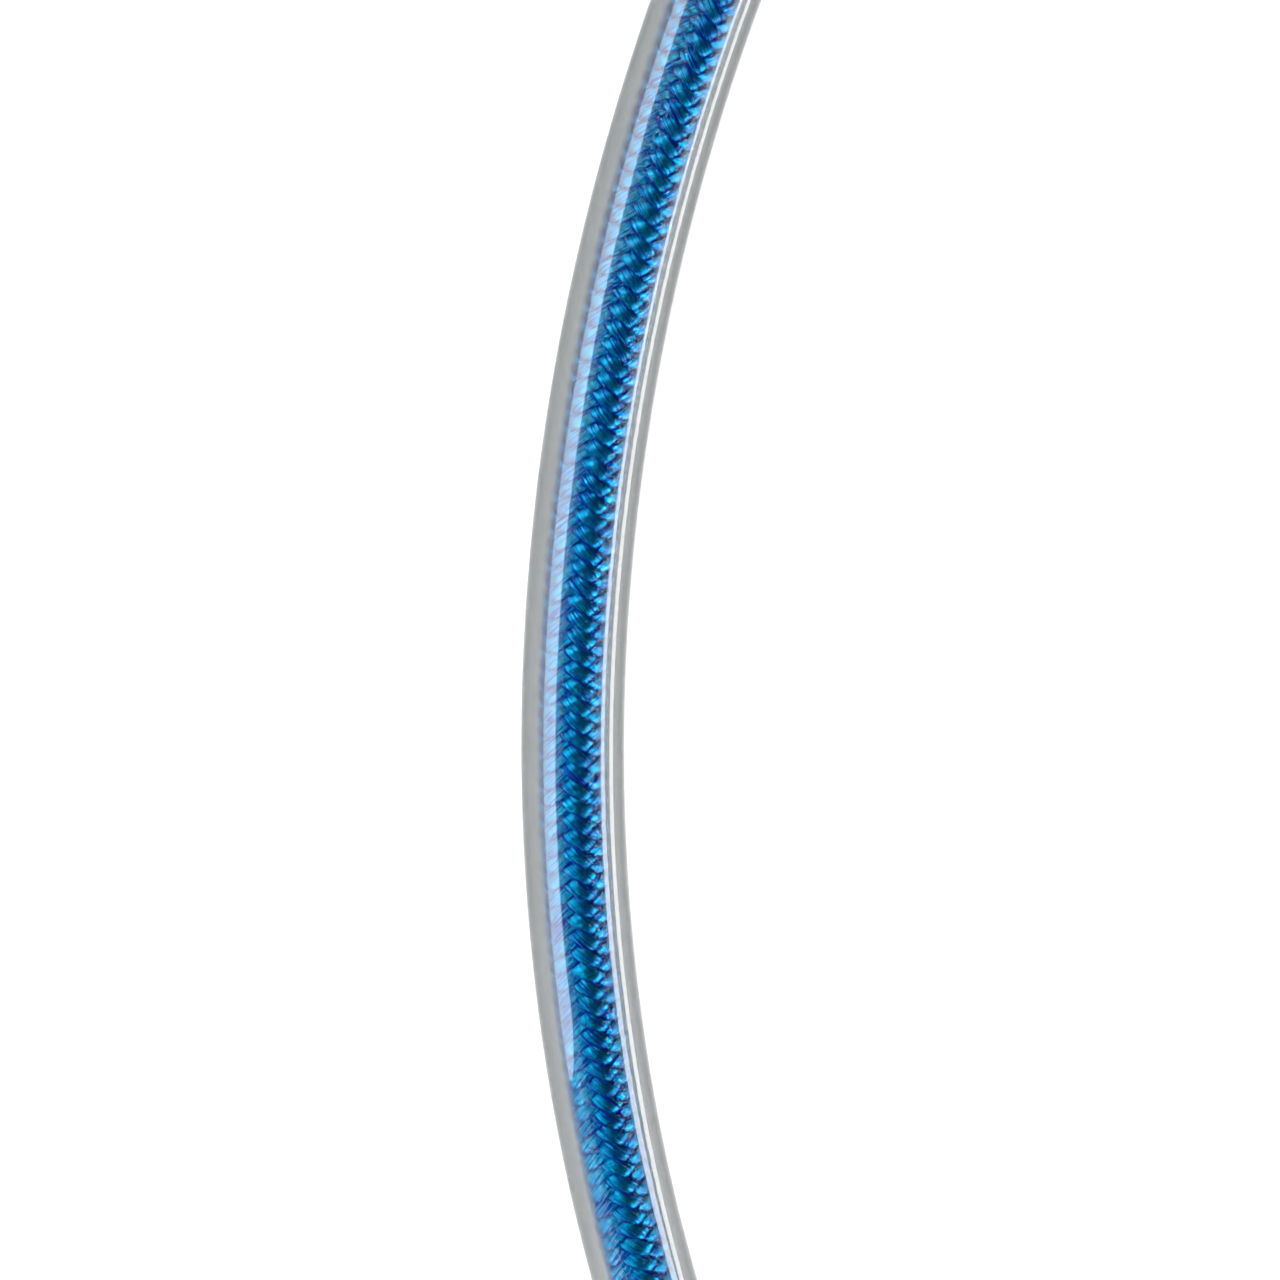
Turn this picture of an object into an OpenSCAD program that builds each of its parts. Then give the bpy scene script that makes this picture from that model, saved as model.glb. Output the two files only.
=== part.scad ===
// Short dynamic rope lanyard: a braided rope in a clear loose tube, with a thimble sewn into each end.
// The lanyard lies on the floor in one flat bow that opens towards +X, with its eyes at the two ends of Y.
// The origin is on the floor, in the middle of the lanyard's box. Sizes are in millimetres.

/* [Rope] */
// Outer diameter of the rope
rope_d = 10; // [9:0.5:11]
// Thickness of the braided sheath
sheath_wall = 1.1; // [0.8:0.1:1.4]

/* [Tube] */
// Wall of the clear tube
tube_wall = 2.7; // [2:0.1:3.5]
// Play between the rope and the tube, all round
tube_gap = 0.3; // [0.3:0.05:0.6]
// Length of the tube along the bow
tube_length = 255; // [200:5:320]
// Bare rope between each tube end and the sewn part
slide_play = 15; // [8:1:25]

/* [Bow] */
// Radius of the bow in which the lanyard lies
bow_radius = 365; // [320:5:480]

/* [Eyes] */
// Hole of each thimble
thimble_bore = 20; // [16:1:24]
// Thimble wall under the rope groove
thimble_wall = 4.6; // [3:0.1:6]
// How far the thimble's flanges reach past the groove
flange_rise = 4; // [2:0.5:5]
// Length of the sewn legs
seam_length = 40; // [30:1:60]
// Radius in which the rope opens into the eye
throat_radius = 30; // [25:1:45]
// Wall of the clear cover over the sewn legs
cover_wall = 1.2; // [0.8:0.1:2]

/* [Hidden] */
$fn = 96;
fit_gap = 0.4;
rope_r = rope_d / 2;
tube_bore_r = rope_r + tube_gap;
tube_r = tube_bore_r + tube_wall;
axis_height = tube_r;
leg_half = (rope_d + fit_gap) / 2;
groove_r = thimble_bore / 2 + thimble_wall;
eye_r = groove_r + fit_gap + rope_r;
throat_turn = acos((throat_radius + leg_half) / (eye_r + throat_radius));
eye_reach = seam_length + (eye_r + throat_radius) * sin(throat_turn);
tube_turn = tube_length / bow_radius * 90 / PI;
rope_turn = (tube_length + 2 * slide_play) / bow_radius * 90 / PI;
bow_depth = bow_radius * (1 - cos(rope_turn)) + eye_reach * sin(rope_turn) + leg_half * cos(rope_turn);
bow_centre = bow_radius - (bow_depth + eye_r + rope_r - tube_r) / 2;

// Rope route: steps of each stretch, and sides of the swept pieces
bow_steps = 9;
throat_steps = 3;
eye_steps = 16;
seam_steps = 2;
sheath_sides = 12;
strand_sides = 6;
tail_trim = 1;

// Core: nine strands lie round three, all inside the flats of the sheath's inner wall
outer_count = 9;
inner_count = 3;
packing = 0.95;
core_room = (rope_r - sheath_wall) * cos(180 / sheath_sides);
outer_slot = core_room * sin(180 / outer_count) / (1 + sin(180 / outer_count));
inner_room = core_room - 2 * outer_slot;
inner_slot = inner_room * sin(180 / inner_count) / (1 + sin(180 / inner_count));

// Colours
clear_grey = [0.85, 0.88, 0.9, 0.4];
rope_blue = [0.1, 0.3, 0.75];
core_white = [0.93, 0.93, 0.9];
thimble_steel = [0.7, 0.72, 0.75];

// Evenly spaced values from first to last
function spread(first, last, steps) = [for (i = [0 : steps]) first + (last - first) * i / steps];

// A route frame is [point, sideways direction], both in the floor plane
function bow_frame(a) = [
    [bow_centre - bow_radius * cos(a), bow_radius * sin(a)],
    [cos(a), -sin(a)]
];

// Frame at u along and v across the sewn leg, with the rope turned by an angle towards v
function eye_frame(u, v, turn) =
    let (foot = bow_frame(rope_turn))
    let (along = [sin(rope_turn), cos(rope_turn)])
    [
        foot[0] + u * along + v * foot[1],
        cos(turn) * foot[1] - sin(turn) * along
    ];

// Stretches of the upper half, from the middle of the bow to the cut tail of the rope
bow_stretch = [for (a = spread(0, rope_turn, bow_steps)) bow_frame(a)];
leg_stretch = [for (u = spread(0, seam_length, seam_steps)) eye_frame(u, 0, 0)];
open_stretch = [for (b = spread(0, throat_turn, throat_steps))
    eye_frame(seam_length + throat_radius * sin(b), throat_radius * (cos(b) - 1), -b)];
loop_stretch = [for (b = spread(-throat_turn, 180 + throat_turn, eye_steps))
    eye_frame(eye_reach + eye_r * sin(b), leg_half - eye_r * cos(b), b)];
close_stretch = [for (b = spread(throat_turn, 0, throat_steps))
    eye_frame(seam_length + throat_radius * sin(b), 2 * leg_half + throat_radius * (1 - cos(b)), 180 + b)];
tail_stretch = [for (u = spread(seam_length, tail_trim, seam_steps)) eye_frame(u, 2 * leg_half, 180)];

// Leaves out the first frame, which repeats the last one of the stretch before
function rest(list) = [for (i = [1 : len(list) - 1]) list[i]];

upper_half = concat(bow_stretch, rest(leg_stretch), rest(open_stretch), rest(loop_stretch),
                    rest(close_stretch), rest(tail_stretch));
function mirrored(frame) = [[frame[0].x, -frame[0].y], [frame[1].x, -frame[1].y]];
lower_half = [for (i = [len(upper_half) - 1 : -1 : 1]) mirrored(upper_half[i])];
route = concat(lower_half, upper_half);

// Ring of points round a frame, shifted sideways and up by an offset
function ring(frame, radius, sides, offset = [0, 0]) = [
    for (k = [0 : sides - 1])
        let (side = offset.x + radius * cos(360 * k / sides))
        let (up = offset.y + radius * sin(360 * k / sides))
        [frame[0].x + side * frame[1].x, frame[0].y + side * frame[1].y, axis_height + up]
];
function rings(radius, sides, offset = [0, 0]) = [for (frame = route) each ring(frame, radius, sides, offset)];

// Triangles of a swept wall whose first point has the given index
function wall_faces(first, sides) = [
    for (i = [0 : len(route) - 2], k = [0 : sides - 1])
        let (a = first + i * sides + k)
        let (b = first + i * sides + (k + 1) % sides)
        each [[a, a + sides, b], [b, a + sides, b + sides]]
];
function flipped(faces) = [for (f = faces) [f[2], f[1], f[0]]];

// Solid rod along the whole route
module swept_rod(radius, sides, offset) {
    last = (len(route) - 1) * sides;
    near_cap = [[for (k = [0 : sides - 1]) k]];
    far_cap = [[for (k = [sides - 1 : -1 : 0]) last + k]];
    polyhedron(rings(radius, sides, offset), concat(wall_faces(0, sides), near_cap, far_cap));
}

// Hollow pipe along the whole route
module swept_pipe(outer_radius, inner_radius, sides) {
    inner = len(route) * sides;
    last = (len(route) - 1) * sides;
    near_cap = [for (k = [0 : sides - 1])
        let (n = (k + 1) % sides)
        each [[k, n, inner + k], [n, inner + n, inner + k]]];
    far_cap = [for (f = flipped(near_cap)) [for (p = f) p + last]];
    polyhedron(
        concat(rings(outer_radius, sides), rings(inner_radius, sides)),
        concat(wall_faces(0, sides), flipped(wall_faces(inner, sides)), near_cap, far_cap)
    );
}

// Places an eye's piece: local X along the sewn leg, Y across it, Z up from the rope's axis
module at_eye() {
    foot = bow_frame(rope_turn);
    translate([foot[0].x, foot[0].y, axis_height]) rotate([0, 0, 90 - rope_turn]) mirror([0, 1, 0]) children();
}

module protective_tube() {
    color(clear_grey)
        translate([bow_centre, 0, axis_height])
            rotate([0, 0, 180 - tube_turn])
                rotate_extrude(angle = 2 * tube_turn)
                    translate([bow_radius, 0])
                        difference() {
                            circle(tube_r);
                            circle(tube_bore_r);
                        }
}

module rope_sheath() {
    color(rope_blue) swept_pipe(rope_r, rope_r - sheath_wall, sheath_sides);
}

// One core strand: the first nine lie in the outer ring, the last three in the middle
module core_strand(number) {
    in_outer = number <= outer_count;
    count = in_outer ? outer_count : inner_count;
    slot = in_outer ? outer_slot : inner_slot;
    reach = in_outer ? core_room - outer_slot : inner_room - inner_slot;
    around = 360 * number / count;
    color(core_white) swept_rod(packing * slot, strand_sides, reach * [cos(around), sin(around)]);
}

// Grooved round thimble, as tall as the tube so that the lanyard lies level
module thimble() {
    color(thimble_steel)
        at_eye()
            translate([eye_reach, leg_half, 0])
                rotate_extrude()
                    difference() {
                        translate([thimble_bore / 2, -axis_height])
                            square([groove_r + flange_rise - thimble_bore / 2, 2 * axis_height]);
                        translate([eye_r, 0]) circle(rope_r + fit_gap);
                    }
}
module thimble_upper() { thimble(); }
module thimble_lower() { mirror([0, 1, 0]) thimble(); }

// Outline round both legs, grown by a margin
module legs_outline(margin) {
    for (v = [0, 2 * leg_half]) translate([v, 0]) circle(rope_r + margin);
    translate([0, -rope_r - margin]) square([2 * leg_half, rope_d + 2 * margin]);
}
module seam_cover() {
    color(clear_grey)
        at_eye()
            translate([tail_trim, 0, 0])
                rotate([90, 0, 90])
                    linear_extrude(seam_length - tail_trim)
                        difference() {
                            legs_outline(fit_gap + cover_wall);
                            legs_outline(fit_gap);
                        }
}
module seam_cover_upper() { seam_cover(); }
module seam_cover_lower() { mirror([0, 1, 0]) seam_cover(); }

protective_tube();
rope_sheath();
core_strand(1);  // core_strand_01
core_strand(2);  // core_strand_02
core_strand(3);  // core_strand_03
core_strand(4);  // core_strand_04
core_strand(5);  // core_strand_05
core_strand(6);  // core_strand_06
core_strand(7);  // core_strand_07
core_strand(8);  // core_strand_08
core_strand(9);  // core_strand_09
core_strand(10);  // core_strand_10
core_strand(11);  // core_strand_11
core_strand(12);  // core_strand_12
thimble_upper();
thimble_lower();
seam_cover_upper();
seam_cover_lower();
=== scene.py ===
"""Looks of a short dynamic rope lanyard: a braided rope in a loose clear tube, with a sewn eye at each end.

The rope lies on the floor in one flat bow that opens towards +X. Lengths are in metres.
"""

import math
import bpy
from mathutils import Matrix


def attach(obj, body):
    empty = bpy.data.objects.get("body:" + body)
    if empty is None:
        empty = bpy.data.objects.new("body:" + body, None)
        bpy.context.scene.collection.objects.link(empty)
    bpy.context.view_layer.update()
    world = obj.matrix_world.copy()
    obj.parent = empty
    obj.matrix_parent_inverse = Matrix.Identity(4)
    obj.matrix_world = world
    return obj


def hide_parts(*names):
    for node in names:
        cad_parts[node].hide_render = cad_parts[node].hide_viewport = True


bl_info = {
    "name": "Rope lanyard in a clear tube",
    "version": (1, 0, 0),
    "blender": (4, 5, 0),
    "location": "3D View > Sidebar > Lanyard",
    "description": "Builds a braided rope lanyard with a clear protective tube round its packed model",
    "category": "Object",
}

from types import SimpleNamespace

import bmesh
import bpy
from bpy.props import FloatProperty, FloatVectorProperty, IntProperty, PointerProperty
from mathutils import Matrix, Vector

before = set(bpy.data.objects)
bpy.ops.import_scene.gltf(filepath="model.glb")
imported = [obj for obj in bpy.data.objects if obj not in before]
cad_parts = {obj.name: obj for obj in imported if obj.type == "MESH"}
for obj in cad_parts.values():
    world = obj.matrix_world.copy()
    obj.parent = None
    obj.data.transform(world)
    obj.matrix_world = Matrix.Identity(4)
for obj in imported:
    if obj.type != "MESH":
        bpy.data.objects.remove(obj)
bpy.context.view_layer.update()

UP = Vector((0, 0, 1))
TURN = 2 * math.pi
ROUND_SIDES = 96
PLAIT_SIDES = 10
PLAIT_RINGS = 1900
SEAM_POINTS = 260
THREAD_SIDES = 6


# Properties

def length(name, description, default):
    """A length in metres, shown with four decimals."""
    return FloatProperty(
        name=name, description=description, default=default, min=0, unit="LENGTH", precision=4
    )


def angle(name, description, degrees):
    return FloatProperty(name=name, description=description, default=math.radians(degrees), subtype="ANGLE")


def colour(name, description, default):
    return FloatVectorProperty(
        name=name, description=description, default=default, size=3, min=0, max=1, subtype="COLOR"
    )


def factor(name, description, default):
    return FloatProperty(name=name, description=description, default=default, min=0)


class LanyardSizes(bpy.types.PropertyGroup):
    """Sizes of the lanyard, the same as those of the part's solids."""

    rope_diameter: length("Rope", "Outer diameter of the rope", 0.010)
    tube_wall: length("Tube wall", "Wall of the clear tube", 0.0027)
    tube_gap: length("Tube gap", "Play between the rope and the tube, all round", 0.0003)
    tube_length: length("Tube length", "Length of the tube along the bow", 0.255)
    slide_play: length("Slide play", "Bare rope between each tube end and the sewn part", 0.015)
    bow_radius: length("Bow radius", "Radius of the bow in which the lanyard lies", 0.365)
    thimble_bore: length("Thimble hole", "Hole of each thimble", 0.020)
    thimble_wall: length("Thimble wall", "Thimble wall under the rope groove", 0.0046)
    flange_rise: length("Flange rise", "How far the thimble's flanges reach past the groove", 0.004)
    seam_length: length("Seam length", "Length of the sewn legs", 0.040)
    throat_radius: length("Throat radius", "Radius in which the rope opens into the eye", 0.030)
    cover_wall: length("Cover wall", "Wall of the clear cover over the sewn legs", 0.0012)
    fit_gap: length("Fit gap", "Gap between pieces that only touch lightly", 0.0004)
    tail_trim: length("Tail trim", "How far the rope's cut end stops short of the seam's start", 0.001)


class BraidSizes(bpy.types.PropertyGroup):
    """Sizes of the rope's braided sheath and of its sewing thread."""

    plaits: IntProperty(
        name="Plaits each way", description="Plaits that wind in each direction", default=8, min=4
    )
    pitch: length("Pitch", "Length of rope in which a plait goes once round", 0.0224)
    fill: factor("Fill", "Width of a plait against the room that it has beside its neighbours", 1.1)
    yarn_thickness: length("Yarn thickness", "Thickness of one plait", 0.00055)
    fullness: length("Fullness", "How far the plaits' crowns swell past the rope's nominal radius", 0.00027)
    weave_height: length("Weave height", "How far a plait rises and dips over and under", 0.00050)
    facing: angle("Facing column", "Turn of the column of plaits that faces the camera", 93.2)
    thread: length("Thread", "Diameter of the sewing thread", 0.0005)
    stitch: length("Stitch", "Length of seam that one zigzag of the thread takes", 0.0040)


class LanyardColours(bpy.types.PropertyGroup):
    """Colours of the lanyard's finishes."""

    # Yarn, bright is the yarn's own colour; Yarn, deep is painted shade in the yarn's hollows, and a real
    # colour of the melted ends.
    yarn_bright: colour("Yarn, bright", "Colour of the yarn's raised filaments", (0.004, 0.49, 0.86))
    yarn_deep_and_shade: colour("Yarn, deep", "Colour of the yarn in its hollows", (0.0, 0.022, 0.40))
    # The lining's dark blue is painted shade for the gaps between the plaits.
    lining: colour("Lining", "Colour between the plaits", (0.0, 0.06, 0.40))
    core: colour("Core", "Colour of the core strands", (0.82, 0.82, 0.78))
    tube_tint: colour("Tube tint", "Colour that the tube's wall lets through", (0.625, 0.642, 0.645))
    cut: colour("Cut face", "Colour of the matt cut ends of the clear plastic", (0.22, 0.23, 0.235))
    thimble: colour("Thimble", "Colour of the moulded thimbles", (0.03, 0.032, 0.036))
    thread: colour("Thread", "Colour of the sewing thread", (0.75, 0.77, 0.78))
    floor: colour("Floor", "Colour of the floor", (0.8, 0.8, 0.8))


class LanyardStage(bpy.types.PropertyGroup):
    """Camera and light of the picture."""

    azimuth: angle("Azimuth", "Direction of the camera round the lanyard, from +X", 120.92)
    elevation: angle("Elevation", "Height of the camera above the horizon", 65.0)
    roll: angle("Roll", "Turn of the camera round its own axis", 149.50)
    distance: length("Distance", "Distance of the camera from the bow", 3.0)
    target_x: FloatProperty(
        name="Target", description="Place on X that the camera looks at", default=-0.02876
    )
    view_width: length("View width", "Width of the picture at the bow", 0.1977)
    sky: factor("Sky", "Strength of the light from low all round", 0.3)
    left_light: factor("Left light", "Brightness of the wide softbox on the left", 7.2)
    panel_light: factor("Panel light", "Brightness of the low panel under the left softbox", 1.1)
    edge_light: factor("Edge light", "Brightness of the softbox that lights the rope's left side", 20.0)
    strip_light: factor("Strip light", "Brightness of the narrow strip on the right", 9.0)
    top_light: factor("Top light", "Brightness of the softbox towards the top of the picture", 12.5)
    fill_light: factor("Fill light", "Brightness of the softbox that lights the rope's right side", 26.0)
    low_light: factor("Low light", "Brightness of the low softbox on the right", 8.0)
    floor_fill: factor("Floor fill", "Light that brings the lit floor up to white", 0.4)


# Node trees

class Wire:
    """An output in a node tree. Arithmetic on wires adds Math nodes, and add() adds any other node."""

    def __init__(self, tree, socket=None):
        self.tree = tree
        self.socket = socket

    def add(self, kind, sockets=None, output=0, settings=None):
        """Adds a node, sets its settings and then its sockets, and returns one of its outputs."""
        node = self.tree.nodes.new(kind)
        for name, setting in (settings or {}).items():
            setattr(node, name, setting)
        for name, value in (sockets or {}).items():
            if isinstance(value, Wire):
                self.tree.links.new(value.socket, node.inputs[name])
            else:
                node.inputs[name].default_value = value
        return Wire(self.tree, node.outputs[output]) if node.outputs else Wire(self.tree)

    def other(self, output):
        """Another output of the same node."""
        return Wire(self.tree, self.socket.node.outputs[output])

    def math(self, operation, first, second=0.0):
        return self.add("ShaderNodeMath", {0: first, 1: second}, settings={"operation": operation})

    def vector(self, operation, **sockets):
        """Vector Math: the operands are first, second and scale."""
        places = {"first": 0, "second": 1, "scale": "Scale"}
        links = {places[name]: value for name, value in sockets.items()}
        return self.add("ShaderNodeVectorMath", links, settings={"operation": operation})

    def __add__(self, other):
        return self.math("ADD", self, other)

    def __radd__(self, other):
        return self.math("ADD", other, self)

    def __sub__(self, other):
        return self.math("SUBTRACT", self, other)

    def __rsub__(self, other):
        return self.math("SUBTRACT", other, self)

    def __mul__(self, other):
        return self.math("MULTIPLY", self, other)

    def __truediv__(self, other):
        return self.math("DIVIDE", self, other)

    def __abs__(self):
        return self.math("ABSOLUTE", self)

    def clamped(self, low, high):
        """0 at low, 1 at high, and straight between them."""
        sockets = {"Value": self, "From Min": low, "From Max": high}
        return self.add("ShaderNodeMapRange", sockets, settings={"clamp": True})


def attribute(board, name):
    """A number that the piece's mesh carries."""
    return board.add("ShaderNodeAttribute", None, "Fac", {"attribute_name": name})


def place(board):
    """The point's place on the piece, in metres."""
    return board.add("ShaderNodeTexCoord", output="Object")


def noise(board, where, scale, detail=2.0, roughness=0.5):
    sockets = {"Vector": where, "Scale": scale, "Detail": detail, "Roughness": roughness}
    return board.add("ShaderNodeTexNoise", sockets, settings={"noise_dimensions": "3D"})


def blend_colours(board, amount, first, second):
    """A colour from first to second, each given as three numbers."""
    sockets = {"Factor": amount, 6: (*first, 1.0), 7: (*second, 1.0)}
    return board.add("ShaderNodeMix", sockets, 2, {"data_type": "RGBA"})


def bumped(board, height, distance, strength=1.0):
    sockets = {"Height": height, "Distance": distance, "Strength": strength}
    return board.add("ShaderNodeBump", sockets)


def new_finish(name):
    """A new material with an empty node tree, and a board to add its nodes to."""
    finish = bpy.data.materials.new(name)
    finish.use_nodes = True
    finish.node_tree.nodes.clear()
    return finish, Wire(finish.node_tree)


def principled(board, **sockets):
    """A Principled surface; underlines in the names stand for spaces."""
    links = {name.replace("_", " "): value for name, value in sockets.items()}
    return board.add("ShaderNodeBsdfPrincipled", links)


def output(board, **sockets):
    board.add("ShaderNodeOutputMaterial", sockets, settings={"target": "ALL"})


# Finishes

def yarn_finish(colours):
    """Glossy filament yarn in fine streaks along each plait, painted deep blue as shade between its
    filaments, at the plaits' edges and where a plait dips under, and painted a little lighter on raised
    crowns.
    """
    finish, board = new_finish("Braided yarn")
    along = attribute(board, "along")
    across = attribute(board, "across")
    plait = attribute(board, "plait")
    lift = attribute(board, "lift")
    streaks_across = 8.0
    streak_slant = 3000.0
    streaks_along = 220.0
    plait_shift = 3.7
    streak_sockets = {
        "X": across * streaks_across + along * streak_slant,
        "Y": along * streaks_along,
        "Z": plait * plait_shift,
    }
    streak_place = board.add("ShaderNodeCombineXYZ", streak_sockets)
    # Painted light and shade: lighter on the plaits' raised crowns, darker at their edges, and dark between
    # the filament ridges that the grain also bumps.
    painted_crown_light = lift.clamped(-0.6, 0.8)
    painted_edge_shade = abs(across).clamped(0.6, 1.0)
    grain = noise(board, streak_place, 1.0, 3.0, 0.6)
    filament_light_and_shade = (grain + painted_crown_light * 0.06 - painted_edge_shade * 0.12).clamped(0.47, 0.58)
    # The blend from deep to bright blue is painted shade, not a tone that the yarn has.
    base = blend_colours(board, filament_light_and_shade, colours.yarn_deep_and_shade, colours.yarn_bright)
    surface = principled(
        board,
        Base_Color=base,
        Roughness=0.29 - filament_light_and_shade * 0.06,
        Metallic=0.7 + filament_light_and_shade * 0.3,
        Specular_Tint=(*colours.yarn_bright, 1.0),
        Coat_Weight=0.12,
        Coat_Roughness=0.2,
        Normal=bumped(board, grain, 0.00024),
    )
    output(board, Surface=surface)
    return finish


def lining_finish(colours):
    """Inner turns of yarn that show only in the gaps of the braid, painted dark as the shade in those gaps.
    """
    finish, board = new_finish("Braid lining")
    grain = noise(board, place(board), 2500.0)
    # Painted shade: dark blue, varying at random with the grain.
    base = blend_colours(board, grain, (0.0, 0.02, 0.15), colours.lining)
    output(board, Surface=principled(board, Base_Color=base, Roughness=0.8))
    return finish


def clear_finish(name, colours, density, dullness):
    """Clear soft plastic that greys with thickness, uneven in its bore, matt where it was cut to length."""
    finish, board = new_finish(name)
    haze = noise(board, place(board), 60.0, 3.0).clamped(0.35, 0.9)
    glass = principled(
        board,
        Base_Color=(1.0, 1.0, 1.0, 1.0),
        Roughness=haze * dullness,
        IOR=1.5,
        Normal=bumped(board, noise(board, place(board), 5000.0) * attribute(board, "bore"), 0.00004),
        Transmission_Weight=1.0,
    )
    matt = principled(board, Base_Color=(*colours.cut, 1.0), Roughness=0.6)
    skin = board.add("ShaderNodeMixShader", {0: attribute(board, "cut"), 1: glass, 2: matt})
    through = board.add("ShaderNodeBsdfTransparent", {"Color": (0.94, 0.94, 0.94, 1.0)})
    lamp_ray = board.add("ShaderNodeLightPath", output="Is Shadow Ray")
    surface = board.add("ShaderNodeMixShader", {0: lamp_ray, 1: skin, 2: through})
    body_sockets = {"Color": (*colours.tube_tint, 1.0), "Density": density}
    body = board.add("ShaderNodeVolumeAbsorption", body_sockets)
    output(board, Surface=surface, Volume=body)
    return finish


def core_finish(colours):
    """Undyed twisted yarn, painted greyer as shade in the grooves between its plies."""
    finish, board = new_finish("Core yarn")
    along = attribute(board, "along")
    around = attribute(board, "around")
    plies = 3.0
    twist_rate = 900.0
    twist = board.math("SINE", around * plies + along * twist_rate)
    grain = noise(board, place(board), 3000.0)
    # Painted shade: greyer where the twist's bump dips between plies, with random grain on top.
    shade = twist * 0.25 + grain * 0.5 + 0.3
    base = blend_colours(board, shade, (0.45, 0.45, 0.42), colours.core)
    surface = principled(
        board, Base_Color=base, Roughness=0.7, Normal=bumped(board, twist, 0.00012, 0.7)
    )
    output(board, Surface=surface)
    return finish


def melted_finish(colours):
    """Yarn that was melted together at the rope's cut end: dark, smooth and a little uneven."""
    finish, board = new_finish("Melted rope end")
    blotch = noise(board, place(board), 900.0, 4.0)
    base = blend_colours(board, blotch, (0.002, 0.008, 0.03), colours.yarn_deep_and_shade)
    surface = principled(
        board, Base_Color=base, Roughness=0.2 + blotch * 0.25, Normal=bumped(board, blotch, 0.0004, 0.6)
    )
    output(board, Surface=surface)
    return finish


def thimble_finish(colours):
    """Moulded plastic with a fine spark-eroded grain, rubbed smoother and paler in places."""
    finish, board = new_finish("Moulded thimble")
    where = place(board)
    grain = noise(board, where, 4200.0, 2.0)
    rub = noise(board, where, 140.0, 4.0, 0.65).clamped(0.5, 0.8)
    base = blend_colours(board, rub * 0.35, colours.thimble, (0.11, 0.112, 0.118))
    surface = principled(
        board,
        Base_Color=base,
        Roughness=0.75 - rub * 0.15 + grain * 0.08,
        Specular_IOR_Level=0.3,
        Normal=bumped(board, grain, 0.00008, 0.5),
    )
    output(board, Surface=surface)
    return finish


def thread_finish(colours):
    """Twisted sewing thread, painted greyer as shade in the grooves of its twist."""
    finish, board = new_finish("Sewing thread")
    along = attribute(board, "along")
    across = attribute(board, "across")
    twist_rate = 9000.0
    slant = 3.0
    ply = board.math("SINE", along * twist_rate + across * slant)
    # Painted shade: the thread is greyer where the twist's bump dips.
    base = blend_colours(board, ply * 0.5 + 0.5, (0.42, 0.44, 0.46), colours.thread)
    surface = principled(
        board, Base_Color=base, Roughness=0.5, Normal=bumped(board, ply, 0.00008, 0.8)
    )
    output(board, Surface=surface)
    return finish


def floor_finish(stage, colours):
    """Pale floor that camera, mirrors and clear plastic see brought up to white; it keeps its shadows."""
    finish, board = new_finish("Pale floor")
    matt = board.add("ShaderNodeBsdfDiffuse", {"Color": (*colours.floor, 1.0)})
    rays = board.add("ShaderNodeLightPath", output="Is Camera Ray")
    seen = board.math("MAXIMUM", rays, rays.other("Is Glossy Ray"))
    seen = board.math("MAXIMUM", seen, rays.other("Is Transmission Ray"))
    glow = board.add("ShaderNodeEmission", {"Strength": seen * stage.floor_fill})
    output(board, Surface=board.add("ShaderNodeAddShader", {0: matt, 1: glow}))
    return finish


# Shapes

def measures():
    """Lengths and angles that follow from the sizes in the panel, as in the part's source."""
    sizes = bpy.context.scene.lanyard_sizes
    m = SimpleNamespace()
    m.rope_r = sizes.rope_diameter / 2
    m.bore_r = m.rope_r + sizes.tube_gap
    m.tube_r = m.bore_r + sizes.tube_wall
    m.height = m.tube_r
    m.leg_half = (sizes.rope_diameter + sizes.fit_gap) / 2
    m.groove_r = sizes.thimble_bore / 2 + sizes.thimble_wall
    m.eye_r = m.groove_r + sizes.fit_gap + m.rope_r
    m.throat_turn = math.acos((sizes.throat_radius + m.leg_half) / (m.eye_r + sizes.throat_radius))
    m.eye_reach = sizes.seam_length + (m.eye_r + sizes.throat_radius) * math.sin(m.throat_turn)
    m.tube_turn = sizes.tube_length / sizes.bow_radius / 2
    m.rope_turn = (sizes.tube_length + 2 * sizes.slide_play) / sizes.bow_radius / 2
    bow_part = sizes.bow_radius * (1 - math.cos(m.rope_turn))
    eye_part = m.eye_reach * math.sin(m.rope_turn) + m.leg_half * math.cos(m.rope_turn)
    m.bow_centre = sizes.bow_radius - (bow_part + eye_part + m.eye_r + m.rope_r - m.tube_r) / 2
    return m


def bow_frame(turn):
    """Point on the rope's axis and the direction sideways from it, at an angle along the bow."""
    m = measures()
    radius = bpy.context.scene.lanyard_sizes.bow_radius
    point = Vector((m.bow_centre - radius * math.cos(turn), radius * math.sin(turn), m.height))
    return point, Vector((math.cos(turn), -math.sin(turn), 0))


def eye_frame(along, across, turn):
    """Point and sideways direction in the upper eye, from the place along and across the sewn leg."""
    m = measures()
    foot, side = bow_frame(m.rope_turn)
    ahead = Vector((math.sin(m.rope_turn), math.cos(m.rope_turn), 0))
    return foot + along * ahead + across * side, math.cos(turn) * side - math.sin(turn) * ahead


def spread(first, last, arc, step):
    """Values from first to last, about one for each step of an arc's length; the first is left out."""
    count = max(2, round(arc / step))
    return [first + (last - first) * i / count for i in range(1, count + 1)]


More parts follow.
